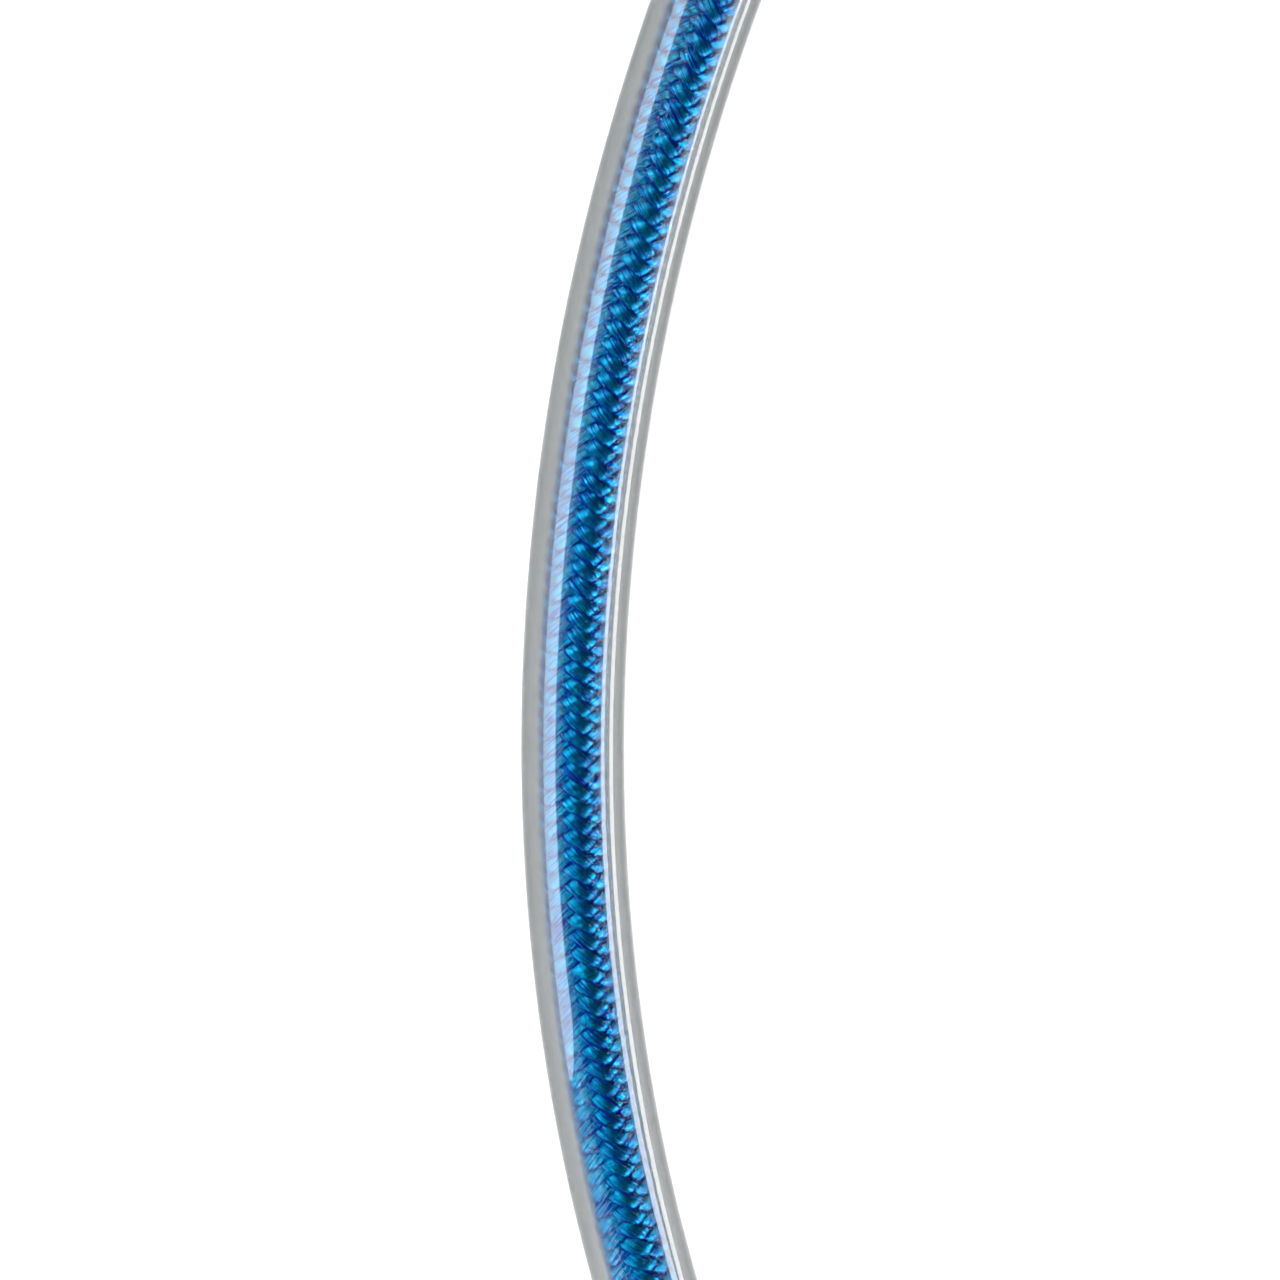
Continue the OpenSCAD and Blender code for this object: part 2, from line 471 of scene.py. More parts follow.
def upper_route(step):
    """Frames from the middle of the bow to the rope's upper cut end."""
    m = measures()
    sizes = bpy.context.scene.lanyard_sizes
    seam = sizes.seam_length
    throat = sizes.throat_radius
    twice = 2 * m.leg_half
    frames = [bow_frame(0)]
    for turn in spread(0, m.rope_turn, sizes.bow_radius * m.rope_turn, step):
        frames.append(bow_frame(turn))
    for along in spread(0, seam, seam, step):
        frames.append(eye_frame(along, 0, 0))
    for b in spread(0, m.throat_turn, throat * m.throat_turn, step):
        frames.append(eye_frame(seam + throat * math.sin(b), throat * (math.cos(b) - 1), -b))
    loop = math.pi + 2 * m.throat_turn
    for b in spread(-m.throat_turn, math.pi + m.throat_turn, m.eye_r * loop, step):
        frames.append(eye_frame(m.eye_reach + m.eye_r * math.sin(b), m.leg_half - m.eye_r * math.cos(b), b))
    for b in spread(m.throat_turn, 0, throat * m.throat_turn, step):
        across = twice + throat * (1 - math.cos(b))
        frames.append(eye_frame(seam + throat * math.sin(b), across, math.pi + b))
    for along in spread(seam, sizes.tail_trim, seam - sizes.tail_trim, step):
        frames.append(eye_frame(along, twice, math.pi))
    return frames


def mirrored(vector):
    """The same vector on the lower half."""
    return Vector((vector.x, -vector.y, vector.z))


def rope_route(step):
    """Frames of the whole rope, from its lower cut end to its upper one."""
    upper = upper_route(step)
    lower = [(mirrored(point), mirrored(side)) for point, side in upper[:0:-1]]
    return lower + upper


def circle(point, side, radius, count, offset=(0, 0)):
    """Ring of points round a frame, shifted sideways and up by an offset."""
    ring = []
    for k in range(count):
        turn = TURN * k / count
        across = offset[0] + radius * math.cos(turn)
        rise = offset[1] + radius * math.sin(turn)
        ring.append(point + across * side + rise * UP)
    return ring


def ring_mesh(name, rings, looped=False):
    """Skin that joins each ring of points to the next. Its ends are closed, or joined if looped."""
    count = len(rings[0])
    faces = []
    for i in range(len(rings) if looped else len(rings) - 1):
        near = i * count
        far = (i + 1) % len(rings) * count
        for k in range(count):
            after = (k + 1) % count
            faces.append((near + k, near + after, far + after, far + k))
    if not looped:
        last = (len(rings) - 1) * count
        faces.append(tuple(range(count)))
        faces.append(tuple(range(last, last + count)))
    mesh = bpy.data.meshes.new(name)
    mesh.from_pydata([point for ring in rings for point in ring], [], faces)
    skin = bmesh.new()
    skin.from_mesh(mesh)
    bmesh.ops.recalc_face_normals(skin, faces=skin.faces)
    skin.to_mesh(mesh)
    skin.free()
    mesh.shade_smooth()
    return mesh


def keep_numbers(mesh, name, values):
    """Stores one number for each point of a mesh."""
    numbers = mesh.attributes.new(name, "FLOAT", "POINT")
    numbers.data.foreach_set("value", values)


def add_piece(name, mesh, body, nodes=()):
    """Puts a mesh into the scene as a piece that rides on a body and stands for nodes of the part."""
    piece = bpy.data.objects.new(name, mesh)
    bpy.context.scene.collection.objects.link(piece)
    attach(piece, body)
    if nodes:
        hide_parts(*nodes)
    return piece


def path_mesh(name, points):
    """A plain line of points, for a node tree to follow."""
    mesh = bpy.data.meshes.new(name)
    mesh.from_pydata(points, [(i, i + 1) for i in range(len(points) - 1)], [])
    return mesh


def grown(name, path, tree, values):
    """The plain mesh that a node tree grows on a path, with the tree's named inputs set to values."""
    host = bpy.data.objects.new(name, path)
    bpy.context.scene.collection.objects.link(host)
    modifier = host.modifiers.new("Grow", "NODES")
    modifier.node_group = tree
    for item in tree.interface.items_tree:
        if item.in_out == "INPUT" and item.name in values:
            modifier[item.identifier] = values[item.name]
    bpy.context.view_layer.update()
    mesh = bpy.data.meshes.new_from_object(host.evaluated_get(bpy.context.evaluated_depsgraph_get()))
    mesh.name = name
    host.modifiers.remove(modifier)
    bpy.data.objects.remove(host)
    return mesh


# Node trees of what repeats along the rope

def new_tree(name, inputs):
    """A geometry tree with these inputs, a board for its nodes, and the wires of its inputs by name."""
    tree = bpy.data.node_groups.new(name, "GeometryNodeTree")
    tree.interface.new_socket("Path", in_out="INPUT", socket_type="NodeSocketGeometry")
    for label, kind in inputs.items():
        tree.interface.new_socket(label, in_out="INPUT", socket_type=kind)
    tree.interface.new_socket("Mesh", in_out="OUTPUT", socket_type="NodeSocketGeometry")
    board = Wire(tree)
    first = board.add("NodeGroupInput")
    return tree, board, {label: first.other(label) for label in ["Path", *inputs]}


def stored(board, geometry, name, value):
    """Keeps a number at each point under a name."""
    sockets = {"Geometry": geometry, "Name": name, "Value": value}
    settings = {"data_type": "FLOAT", "domain": "POINT"}
    return board.add("GeometryNodeStoreNamedAttribute", sockets, settings=settings)


def separated(board, vector, axis):
    return board.add("ShaderNodeSeparateXYZ", {"Vector": vector}, axis)


def thread_profile(board, thickness):
    """Round outline of a thread, with the place across it kept at each point."""
    ring = board.add("GeometryNodeCurvePrimitiveCircle", {"Resolution": THREAD_SIDES, "Radius": 1.0})
    ring = stored(board, ring, "across", separated(board, board.add("GeometryNodeInputPosition"), "Y"))
    half = thickness * 0.5
    scale = board.add("ShaderNodeCombineXYZ", {"X": half, "Y": half, "Z": 1.0})
    return board.add("GeometryNodeTransform", {"Geometry": ring, "Scale": scale})


def finished_mesh(board, mesh, material):
    """Ends a tree: plain smooth mesh with one material."""
    mesh = board.add("GeometryNodeRealizeInstances", {"Geometry": mesh})
    mesh = board.add("GeometryNodeSetShadeSmooth", {"Geometry": mesh})
    mesh = board.add("GeometryNodeSetMaterial", {"Geometry": mesh, "Material": material})
    board.add("NodeGroupOutput", {"Mesh": mesh})


def kept_number(board, name):
    """A number that was kept at each point under a name."""
    return board.add("GeometryNodeInputNamedAttribute", {"Name": name}, settings={"data_type": "FLOAT"})


def braid_tree():
    """Plaits of one direction that wind along the path and pass over two and under two of the others.

    A plait's outline lies along the plaits that it crosses, so each float ends in a point between them.
    """
    floats = ["First plait", "Hand", "Plaits round", "Pitch", "Centre radius", "Weave height", "Facing"]
    inputs = {label: "NodeSocketFloat" for label in [*floats, "Fill", "Yarn thickness"]}
    inputs |= {"Plaits": "NodeSocketInt", "Rings": "NodeSocketInt", "Yarn": "NodeSocketMaterial"}
    tree, board, wire = new_tree("Braided plaits", inputs)
    route = board.add("GeometryNodeMeshToCurve", {"Mesh": wire["Path"]})
    whole = board.add("GeometryNodeCurveLength", {"Curve": route})
    line = board.add("GeometryNodeCurvePrimitiveLine", {"End": (1.0, 0.0, 0.0)})
    line = board.add("GeometryNodeResampleCurve", {"Curve": line, "Count": wire["Rings"]})
    line = stored(board, line, "share", board.add("GeometryNodeSplineParameter", output="Factor"))
    starts = board.add("GeometryNodePoints", {"Count": wire["Plaits"]})
    starts = stored(board, starts, "plait", board.add("GeometryNodeInputIndex") + wire["First plait"])
    lines = board.add("GeometryNodeInstanceOnPoints", {"Points": starts, "Instance": line})
    lines = board.add("GeometryNodeRealizeInstances", {"Geometry": lines})
    profile_sockets = {"Resolution": PLAIT_SIDES, "Radius": 1.0}
    profile = board.add("GeometryNodeCurvePrimitiveCircle", profile_sockets)
    spot_on_ring = board.add("GeometryNodeInputPosition")
    profile = stored(board, profile, "swell", separated(board, spot_on_ring, "X"))
    profile = stored(board, profile, "across", separated(board, spot_on_ring, "Y"))
    skin_sockets = {"Curve": lines, "Profile Curve": profile, "Fill Caps": True}
    skin = board.add("GeometryNodeCurveToMesh", skin_sockets)
    hand = wire["Hand"]
    across = kept_number(board, "across")
    along = kept_number(board, "share") * whole
    column_shift = 0.25
    start = (kept_number(board, "plait") + column_shift) * TURN / wire["Plaits round"] + wire["Facing"]
    turn = hand * along * TURN / wire["Pitch"] + start
    columns = (turn - wire["Facing"]) * wire["Plaits round"] * 0.5
    softness = 1.5
    weave = board.math("TANH", board.math("COSINE", columns) * softness) / math.tanh(softness) * hand
    skin = stored(board, skin, "along", hand * along)
    skin = stored(board, skin, "lift", weave)

    # With a fill of 1, neighbouring plaits just meet, measured along the plaits that they cross.
    beside = across * wire["Fill"] * wire["Pitch"] / wire["Plaits round"] * 0.25
    turn = turn + beside * TURN / wire["Pitch"]
    swell = kept_number(board, "swell") * wire["Yarn thickness"] * 0.5
    radius = wire["Centre radius"] + wire["Weave height"] * weave + swell
    route_sockets = {"Curves": route, "Factor": (along - hand * beside) / whole}
    spot = board.add("GeometryNodeSampleCurve", route_sockets, "Position", {"mode": "FACTOR"})
    side = board.vector("CROSS_PRODUCT", first=spot.other("Tangent"), second=UP)
    side = board.vector("NORMALIZE", first=side)
    sideways = board.vector("SCALE", first=side, scale=radius * board.math("COSINE", turn))
    upwards = board.vector("SCALE", first=UP, scale=radius * board.math("SINE", turn))
    reach = board.vector("ADD", first=sideways, second=upwards)
    place_on_rope = board.vector("ADD", first=spot, second=reach)
    skin = board.add("GeometryNodeSetPosition", {"Geometry": skin, "Position": place_on_rope})
    # The ring is laid on the rope as its mirror image, so its faces are turned to look outward again.
    skin = board.add("GeometryNodeFlipFaces", {"Mesh": skin})
    finished_mesh(board, skin, wire["Yarn"])
    return tree


def seam_tree():
    """Thread that zigzags across each line of the path and dips into the rope at its turns."""
    floats = ["Stitch", "Half width", "Dip", "Thread"]
    inputs = {label: "NodeSocketFloat" for label in floats}
    inputs |= {"Points": "NodeSocketInt", "Yarn": "NodeSocketMaterial"}
    tree, board, wire = new_tree("Zigzag seam", inputs)
    lines = board.add("GeometryNodeMeshToCurve", {"Mesh": wire["Path"]})
    lines = board.add("GeometryNodeResampleCurve", {"Curve": lines, "Count": wire["Points"]})
    rise = kept_number(board, "rise")
    phase = kept_number(board, "phase")
    along = board.add("GeometryNodeSplineParameter", output="Length")
    swing = board.math("PINGPONG", along * 2.0 / wire["Stitch"] + phase, 1.0) * 2.0 - 1.0
    ahead = board.add("GeometryNodeInputTangent")
    side = board.vector("CROSS_PRODUCT", first=ahead, second=UP)
    across = board.vector("SCALE", first=side, scale=swing * wire["Half width"])
    dip = board.math("POWER", abs(swing), 8.0) * wire["Dip"]
    sink = board.vector("SCALE", first=UP, scale=rise * dip * -1.0)
    offset = board.vector("ADD", first=across, second=sink)
    lines = stored(board, lines, "along", along)
    lines = board.add("GeometryNodeSetPosition", {"Geometry": lines, "Offset": offset})
    profile = thread_profile(board, wire["Thread"])
    skin_sockets = {"Curve": lines, "Profile Curve": profile, "Fill Caps": True}
    skin = board.add("GeometryNodeCurveToMesh", skin_sockets)
    finished_mesh(board, skin, wire["Yarn"])
    return tree


# Operators

class LanyardOperator:
    """What the lanyard's operators share."""

    bl_options = {"REGISTER", "UNDO"}

    def execute(self, context):
        scene = context.scene
        self.build(scene.lanyard_sizes, scene.braid_sizes, scene.lanyard_colours, scene.lanyard_stage)
        return {"FINISHED"}


class LANYARD_OT_stage(LanyardOperator, bpy.types.Operator):
    """Camera, pale floor, softboxes all round and a low soft sky"""

    bl_idname = "lanyard.stage"
    bl_label = "Stage"

    def build(self, sizes, braid, colours, stage):
        axes = self.camera_axes(stage)
        target = Vector((stage.target_x, 0, measures().height))
        self.add_camera(stage, axes, target)
        self.add_floor(stage, colours)
        self.add_sky(stage)
        lamps = (
            ("left_softbox", (-0.793, 0.237, 0.257), (-0.593, -0.493, 0.297), 0.35, stage.left_light),
            ("left_panel", (-0.855, 0.209, 0.043), (-0.655, -0.521, 0.083), 0.10, stage.panel_light),
            ("left_edge", (-0.46, -0.64, 0.14), (-0.26, -0.76, 0.14), 0.25, stage.edge_light),
            ("top_softbox", (-0.33, 0.08, 0.71), (-0.33, 0.40, 0.68), 0.36, stage.top_light),
            ("right_strip", (0.35, -0.36, 0.565), (0.93, -0.16, 0.105), 0.045, stage.strip_light),
            ("low_softbox", (0.60, -0.48, 0.10), (0.82, -0.05, 0.08), 0.15, stage.low_light),
            ("right_fill", (0.30, -0.74, 0.22), (0.62, -0.50, 0.22), 0.40, stage.fill_light),
        )
        for name, first_end, last_end, width, brightness in lamps:
            self.add_softbox(name, Vector(first_end), Vector(last_end), width, brightness, target)

    def camera_axes(self, stage):
        """The picture's right, its up, and the direction back to the camera."""
        flat = Vector((math.cos(stage.azimuth), math.sin(stage.azimuth), 0))
        back = math.cos(stage.elevation) * flat + math.sin(stage.elevation) * UP
        level = Vector((-math.sin(stage.azimuth), math.cos(stage.azimuth), 0))
        upright = back.cross(level)
        right = math.cos(stage.roll) * level + math.sin(stage.roll) * upright
        return right, back.cross(right), back

    def add_camera(self, stage, axes, target):
        lens = bpy.data.cameras.new("camera")
        lens.sensor_width = 36.0
        lens.lens = lens.sensor_width * stage.distance / stage.view_width
        camera = bpy.data.objects.new("camera", lens)
        camera.matrix_world = Matrix.Translation(target + stage.distance * axes[2]) @ turned(axes)
        bpy.context.scene.collection.objects.link(camera)
        bpy.context.scene.camera = camera

    def add_floor(self, stage, colours):
        reach = 3.0
        corners = [(-reach, -reach, 0), (reach, -reach, 0), (reach, reach, 0), (-reach, reach, 0)]
        mesh = bpy.data.meshes.new("floor")
        mesh.from_pydata(corners, [], [(0, 1, 2, 3)])
        mesh.materials.append(floor_finish(stage, colours))
        floor = bpy.data.objects.new("floor", mesh)
        bpy.context.scene.collection.objects.link(floor)

    def add_sky(self, stage):
        sky = bpy.data.worlds.new("soft_sky")
        sky.use_nodes = True
        sky.node_tree.nodes.clear()
        board = Wire(sky.node_tree)
        rays = board.add("ShaderNodeLightPath", output="Is Camera Ray")
        mirrored_ray = board.math("MAXIMUM", rays.other("Is Glossy Ray"), rays.other("Is Transmission Ray"))
        height = separated(board, board.add("ShaderNodeTexCoord", output="Generated"), "Z")
        low = 1.0 - height.clamped(0.05, 0.25)
        strength = board.math("MAXIMUM", rays, low * board.math("MAXIMUM", mirrored_ray, stage.sky))
        light = board.add("ShaderNodeBackground", {"Strength": strength})
        board.add("ShaderNodeOutputWorld", {"Surface": light})
        bpy.context.scene.world = sky
        bpy.context.scene.view_settings.view_transform = "Standard"

    def add_softbox(self, name, first_end, last_end, width, brightness, target):
        """A long lamp between two end points that faces the bow."""
        lamp = bpy.data.lights.new(name, "AREA")
        lamp.shape = "RECTANGLE"
        lamp.size = width
        lamp.size_y = (last_end - first_end).length
        lamp.energy = brightness * math.pi * lamp.size * lamp.size_y
        middle = (first_end + last_end) / 2
        lengthwise = (last_end - first_end).normalized()
        across = lengthwise.cross(middle - target).normalized()
        axes = across, lengthwise, across.cross(lengthwise)
        box = bpy.data.objects.new(name, lamp)
        box.matrix_world = Matrix.Translation(middle) @ turned(axes)
        bpy.context.scene.collection.objects.link(box)


def turned(axes):
    """Rotation that takes X, Y and Z to three axes."""
    return Matrix((axes[0], axes[1], axes[2])).transposed().to_4x4()


class LANYARD_OT_rope(LanyardOperator, bpy.types.Operator):
    """The rope's inner lining, painted dark as the shade in the braid's gaps, which carries the braid"""

    bl_idname = "lanyard.rope"
    bl_label = "Rope lining"

    def build(self, sizes, braid, colours, stage):
        route = rope_route(step=0.002)
        outer_share = 0.74
        inner_share = 0.69
        sides = 20
        outer = outer_share * sizes.rope_diameter / 2
        inner = inner_share * sizes.rope_diameter / 2
        rings = [circle(point, side, outer, sides) for point, side in route]
        rings += [circle(point, side, inner, sides) for point, side in reversed(route)]
        mesh = ring_mesh("rope_lining", rings, looped=True)
        mesh.materials.append(lining_finish(colours))
        rope = add_piece("rope_lining", mesh, "rope", ["rope_sheath"])
        points = [point for point, side in route]
        long = sum((b - a).length for a, b in zip(points, points[1:]))


class LANYARD_OT_braid(LanyardOperator, bpy.types.Operator):
    """The braided sheath: plaits of both directions, in four pieces"""

    bl_idname = "lanyard.braid"
    bl_label = "Braid"

    def build(self, sizes, braid, colours, stage):
        tree = braid_tree()
        yarn = yarn_finish(colours)
        points = [point for point, side in rope_route(step=0.001)]
        top = sizes.rope_diameter / 2 + braid.fullness
        half = braid.plaits // 2
        for name, hand in (("right", 1.0), ("left", -1.0)):
            for part in range(2):
                values = {
                    "First plait": float(part * half),
                    "Hand": hand,
                    "Plaits round": float(braid.plaits),
                    "Pitch": braid.pitch,
                    "Centre radius": top - braid.weave_height - braid.yarn_thickness / 2,
                    "Weave height": braid.weave_height,
                    "Facing": braid.facing,
                    "Fill": braid.fill,
                    "Yarn thickness": braid.yarn_thickness,
                    "Plaits": half,
                    "Rings": PLAIT_RINGS,
                    "Yarn": yarn,
                }
                label = f"braid_{name}_{part + 1}"
                mesh = grown(label, path_mesh(label, points), tree, values)
                add_piece(label, mesh, "rope")


class LANYARD_OT_tube(LanyardOperator, bpy.types.Operator):
    """The loose clear tube over the bow"""

    bl_idname = "lanyard.tube"
    bl_label = "Clear tube"

    def build(self, sizes, braid, colours, stage):
        m = measures()
        lip = 0.0004
        lip_turn = lip / sizes.bow_radius
        steps = 200
        end = m.tube_turn - lip_turn
        turns = [-end + end * 2 * i / steps for i in range(steps + 1)]
        walls = [(turn, m.tube_r) for turn in turns]
        walls += self.rounded(end, m.tube_r - lip, lip, lip_turn, 1)
        walls += self.rounded(end, m.bore_r + lip, lip, lip_turn, 1, inner=True)
        walls += [(turn, m.bore_r) for turn in reversed(turns)]
        walls += self.rounded(-end, m.bore_r + lip, lip, lip_turn, -1, inner=True)[::-1]
        walls += self.rounded(-end, m.tube_r - lip, lip, lip_turn, -1)[::-1]
        rings = [circle(*bow_frame(turn), radius, ROUND_SIDES) for turn, radius in walls]
        mesh = ring_mesh("clear_tube", rings, looped=True)
        bore = [float(radius < m.bore_r + lip / 2) for turn, radius in walls]
        cut = [float(abs(turn) > m.tube_turn - lip_turn / 3) for turn, radius in walls]
        keep_numbers(mesh, "bore", [value for value in bore for k in range(ROUND_SIDES)])
        keep_numbers(mesh, "cut", [value for value in cut for k in range(ROUND_SIDES)])
        mesh.materials.append(clear_finish("Clear tube", colours, density=520.0, dullness=0.08))
        add_piece("clear_tube", mesh, "tube", ["protective_tube"])

    def rounded(self, turn, radius, lip, lip_turn, way, inner=False):
        """Rings of a rounded lip at an end of the tube, from the wall towards the end face."""
        rings = []
        bends = 3
        for k in range(1, bends + 1):
            bend = math.pi / 2 * k / bends
            if inner:
                bend = math.pi / 2 - bend + math.pi / 2 / bends
            out = lip * math.cos(bend)
            ring_radius = radius - out if inner else radius + out
            rings.append((turn + way * lip_turn * math.sin(bend), ring_radius))
        return rings


class LANYARD_OT_core(LanyardOperator, bpy.types.Operator):
    """The twelve twisted core strands inside the rope"""

    bl_idname = "lanyard.core"
    bl_label = "Core strands"

    def build(self, sizes, braid, colours, stage):
        yarn = core_finish(colours)
        step = 0.003
        route = rope_route(step)
        room_share = 0.68
        slimness = 0.95
        in_ring = 9
        in_middle = 3
        room = room_share * sizes.rope_diameter / 2
        outer = self.fitted(room, in_ring)
        middle = room - 2 * outer
        inner = self.fitted(middle, in_middle)
        for number in range(1, in_ring + in_middle + 1):
            ringed = number <= in_ring
            radius = slimness * (outer if ringed else inner)
            reach = room - outer if ringed else middle - inner
            turn = TURN * number / (in_ring if ringed else in_middle)
            offset = reach * math.cos(turn), reach * math.sin(turn)
            self.add_strand(number, route, step, radius, offset, yarn)

    def fitted(self, room, count):
        """Radius of strands that just fit side by side round the inside of a circle."""
        return room * math.sin(math.pi / count) / (1 + math.sin(math.pi / count))

    def add_strand(self, number, route, step, radius, offset, yarn):
        sides = 8
        name = f"core_yarn_{number:02d}"
        mesh = ring_mesh(name, [circle(point, side, radius, sides, offset) for point, side in route])
        keep_numbers(mesh, "along", [step * (i // sides) for i in range(len(mesh.vertices))])
        keep_numbers(mesh, "around", [TURN * (i % sides) / sides for i in range(len(mesh.vertices))])
        mesh.materials.append(yarn)
        add_piece(name, mesh, "rope", [f"core_strand_{number:02d}"])


class LANYARD_OT_ends(LanyardOperator, bpy.types.Operator):
    """The melted cut ends of the rope"""

    bl_idname = "lanyard.ends"
    bl_label = "Melted ends"

    def build(self, sizes, braid, colours, stage):
        melted = melted_finish(colours)
        melt = 0.001
        route = rope_route(step=0.001)
        radius = sizes.rope_diameter / 2
        shape = [(-0.5, 0.97), (0.0, 1.0), (0.3, 0.97), (0.55, 0.88), (0.72, 0.7), (0.8, 0.4), (0.83, 0.12)]
        for name, tail, before in (("lower", route[0], route[1]), ("upper", route[-1], route[-2])):
            out = (tail[0] - before[0]).normalized()
            rings = []
            for rise, share in shape:
                rings.append(self.uneven_ring(tail, melt * rise * out, radius * share))
            mesh = ring_mesh(f"melted_end_{name}", rings)
            mesh.materials.append(melted)
            add_piece(f"melted_end_{name}", mesh, "rope")

    def uneven_ring(self, tail, shift, radius):
        """A ring that wavers a little, as melted yarn does."""
        ring = []
        sides = 32
        wave = 0.012
        for k in range(sides):
            turn = TURN * k / sides
            wavy = radius * (0.975 + wave * math.sin(3 * turn) + wave * math.sin(7 * turn + 1))
            ring.append(tail[0] + shift + wavy * (math.cos(turn) * tail[1] + math.sin(turn) * UP))
        return ring


class LANYARD_OT_thimbles(LanyardOperator, bpy.types.Operator):
    """The two moulded thimbles in the eyes"""

    bl_idname = "lanyard.thimbles"
    bl_label = "Thimbles"

    def build(self, sizes, braid, colours, stage):
        moulded = thimble_finish(colours)
        m = measures()
        middle = eye_frame(m.eye_reach, m.leg_half, 0)[0]
        for name, centre in (("upper", middle), ("lower", mirrored(middle))):
            rings = [self.circle_round(centre, *spot) for spot in self.profile(sizes, m)]
            mesh = ring_mesh(f"moulded_thimble_{name}", rings, looped=True)
            mesh.materials.append(moulded)
            thimble = add_piece(f"moulded_thimble_{name}", mesh, "rope", [f"thimble_{name}"])
            rounding = thimble.modifiers.new("Rounded edges", "BEVEL")
            rounding.width = 0.0008
            rounding.segments = 3
            rounding.limit_method = "ANGLE"

    def profile(self, sizes, m):
        """Cut through one side of a thimble, as radius and height: bore, flange, groove, flange."""
        bore = sizes.thimble_bore / 2
        rim = m.groove_r + sizes.flange_rise
        groove = m.rope_r + sizes.fit_gap
        half = math.acos((m.eye_r - rim) / groove)
        spots = [(bore, -m.height), (rim, -m.height)]
        steps = 16
        for k in range(steps + 1):
            turn = math.pi - half + 2 * half * (steps - k) / steps
            spots.append((m.eye_r + groove * math.cos(turn), groove * math.sin(turn)))
        return spots + [(rim, m.height), (bore, m.height)]

    def circle_round(self, centre, radius, rise):
        ring = []
        for k in range(ROUND_SIDES):
            turn = TURN * k / ROUND_SIDES
            ring.append(centre + Vector((radius * math.cos(turn), radius * math.sin(turn), rise)))
        return ring


class LANYARD_OT_covers(LanyardOperator, bpy.types.Operator):
    """The clear covers shrunk over the sewn legs"""

    bl_idname = "lanyard.covers"
    bl_label = "Seam covers"

    def build(self, sizes, braid, colours, stage):
        clear = clear_finish("Clear cover", colours, density=200.0, dullness=0.2)
        lip = sizes.cover_wall / 2
        first = sizes.tail_trim
        last = sizes.seam_length
        middle = sizes.fit_gap + lip
        straight = last - first - 2 * lip
        steps = 40
        bends = 6
        turns = [math.pi * k / bends for k in range(1, bends)]
        rings = [(first + lip + straight * k / steps, middle + lip) for k in range(steps + 1)]
        rings += [(last - lip + lip * math.sin(turn), middle + lip * math.cos(turn)) for turn in turns]
        rings += [(last - lip - straight * k / steps, middle - lip) for k in range(steps + 1)]
        rings += [(first + lip - lip * math.sin(turn), middle - lip * math.cos(turn)) for turn in turns]
        inset = lip / 3
        cut = [float(along < first + inset or along > last - inset) for along, margin in rings]
        upper = [self.outline(along, margin) for along, margin in rings]
        lower = [[mirrored(point) for point in ring] for ring in upper]
        for name, shape in (("upper", upper), ("lower", lower)):
            mesh = ring_mesh(f"clear_cover_{name}", shape, looped=True)
            keep_numbers(mesh, "cut", [value for value in cut for point in upper[0]])
            mesh.materials.append(clear)
            add_piece(f"clear_cover_{name}", mesh, "rope", [f"seam_cover_{name}"])

    def outline(self, along, margin):
        """Outline round both legs at a place along the seam, drawn in a little between them."""
        m = measures()
        radius = m.rope_r + margin
        spacing = 2 * m.leg_half
        dip = 0.0002
        steps = 12
        arc_steps = 23
        shares = [k / steps for k in range(1, steps)]
        sags = [dip * math.sin(math.pi * share) ** 2 for share in shares]
        ring = []
        for k in range(arc_steps + 1):
            turn = math.pi / 2 - math.pi * k / arc_steps
            ring.append((spacing + radius * math.cos(turn), radius * math.sin(turn)))
        ring += [(spacing * (1 - share), sag - radius) for share, sag in zip(shares, sags)]
        for k in range(arc_steps + 1):
            turn = -math.pi / 2 - math.pi * k / arc_steps
            ring.append((radius * math.cos(turn), radius * math.sin(turn)))
        ring += [(spacing * share, radius - sag) for share, sag in zip(shares, sags)]
        return [eye_frame(along, across, 0)[0] + rise * UP for across, rise in ring]


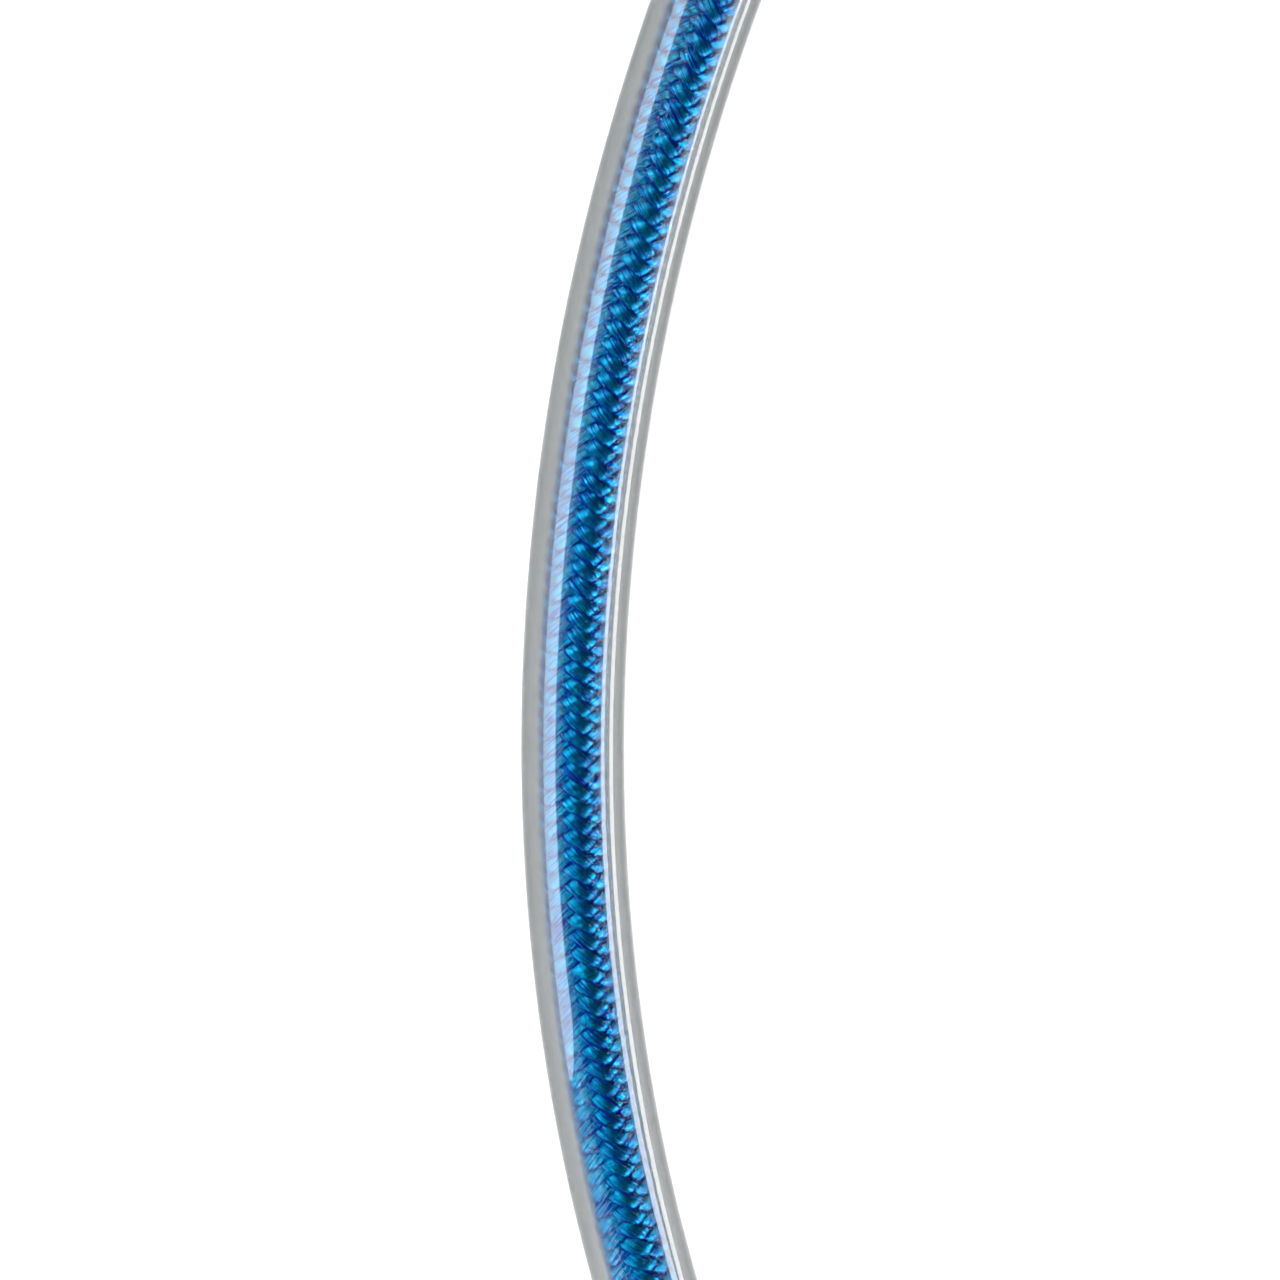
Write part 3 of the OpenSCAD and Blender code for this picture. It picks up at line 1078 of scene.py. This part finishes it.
class LANYARD_OT_seams(LanyardOperator, bpy.types.Operator):
    """The sewing thread that joins the two legs of each eye"""

    bl_idname = "lanyard.seams"
    bl_label = "Sewn seams"

    def build(self, sizes, braid, colours, stage):
        tree = seam_tree()
        m = measures()
        margin = 0.003
        height = m.rope_r - braid.thread / 2
        tuck = 0.2 * braid.thread
        values = {
            "Stitch": braid.stitch,
            "Half width": 0.6 * m.rope_r,
            "Dip": 0.0012,
            "Thread": braid.thread,
            "Points": SEAM_POINTS,
            "Yarn": thread_finish(colours),
        }
        points = []
        numbers = []
        for rise in (1.0, -1.0):
            for phase in (0.0, 1.0):
                for along in (sizes.tail_trim + margin, sizes.seam_length - margin):
                    lowered = height - tuck * phase
                    points.append(eye_frame(along, m.leg_half, 0)[0] + rise * lowered * UP)
                    numbers.append((rise, phase))
        for name, line in (("upper", points), ("lower", [mirrored(point) for point in points])):
            path = bpy.data.meshes.new(f"seam_line_{name}")
            path.from_pydata(line, [(i, i + 1) for i in range(0, len(line), 2)], [])
            keep_numbers(path, "rise", [pair[0] for pair in numbers])
            keep_numbers(path, "phase", [pair[1] for pair in numbers])
            mesh = grown(f"seam_thread_{name}", path, tree, values)
            add_piece(f"seam_thread_{name}", mesh, "rope")


# Panel and registration

OPERATORS = [
    LANYARD_OT_stage,
    LANYARD_OT_rope,
    LANYARD_OT_braid,
    LANYARD_OT_tube,
    LANYARD_OT_core,
    LANYARD_OT_ends,
    LANYARD_OT_thimbles,
    LANYARD_OT_covers,
    LANYARD_OT_seams,
]


class LANYARD_PT_panel(bpy.types.Panel):
    """Buttons and sizes of the lanyard"""

    bl_label = "Lanyard"
    bl_space_type = "VIEW_3D"
    bl_region_type = "UI"
    bl_category = "Lanyard"

    def draw(self, context):
        for operator in OPERATORS:
            self.layout.operator(operator.bl_idname)
        for name in GROUPS:
            group = getattr(context.scene, name)
            for key in group.bl_rna.properties.keys():
                if key not in ("name", "rna_type"):
                    self.layout.prop(group, key)


GROUPS = {
    "lanyard_sizes": LanyardSizes,
    "braid_sizes": BraidSizes,
    "lanyard_colours": LanyardColours,
    "lanyard_stage": LanyardStage,
}


def register():
    for kind in [*GROUPS.values(), *OPERATORS, LANYARD_PT_panel]:
        bpy.utils.register_class(kind)
    for name, group in GROUPS.items():
        setattr(bpy.types.Scene, name, PointerProperty(type=group))


def unregister():
    for name in GROUPS:
        delattr(bpy.types.Scene, name)
    for kind in [LANYARD_PT_panel, *reversed(OPERATORS), *reversed(GROUPS.values())]:
        bpy.utils.unregister_class(kind)


def main():
    register()
    bpy.ops.lanyard.stage()
    bpy.ops.lanyard.rope()
    bpy.ops.lanyard.braid()
    bpy.ops.lanyard.tube()
    bpy.ops.lanyard.core()
    bpy.ops.lanyard.ends()
    bpy.ops.lanyard.thimbles()
    bpy.ops.lanyard.covers()
    bpy.ops.lanyard.seams()


if __name__ == "__main__":
    main()
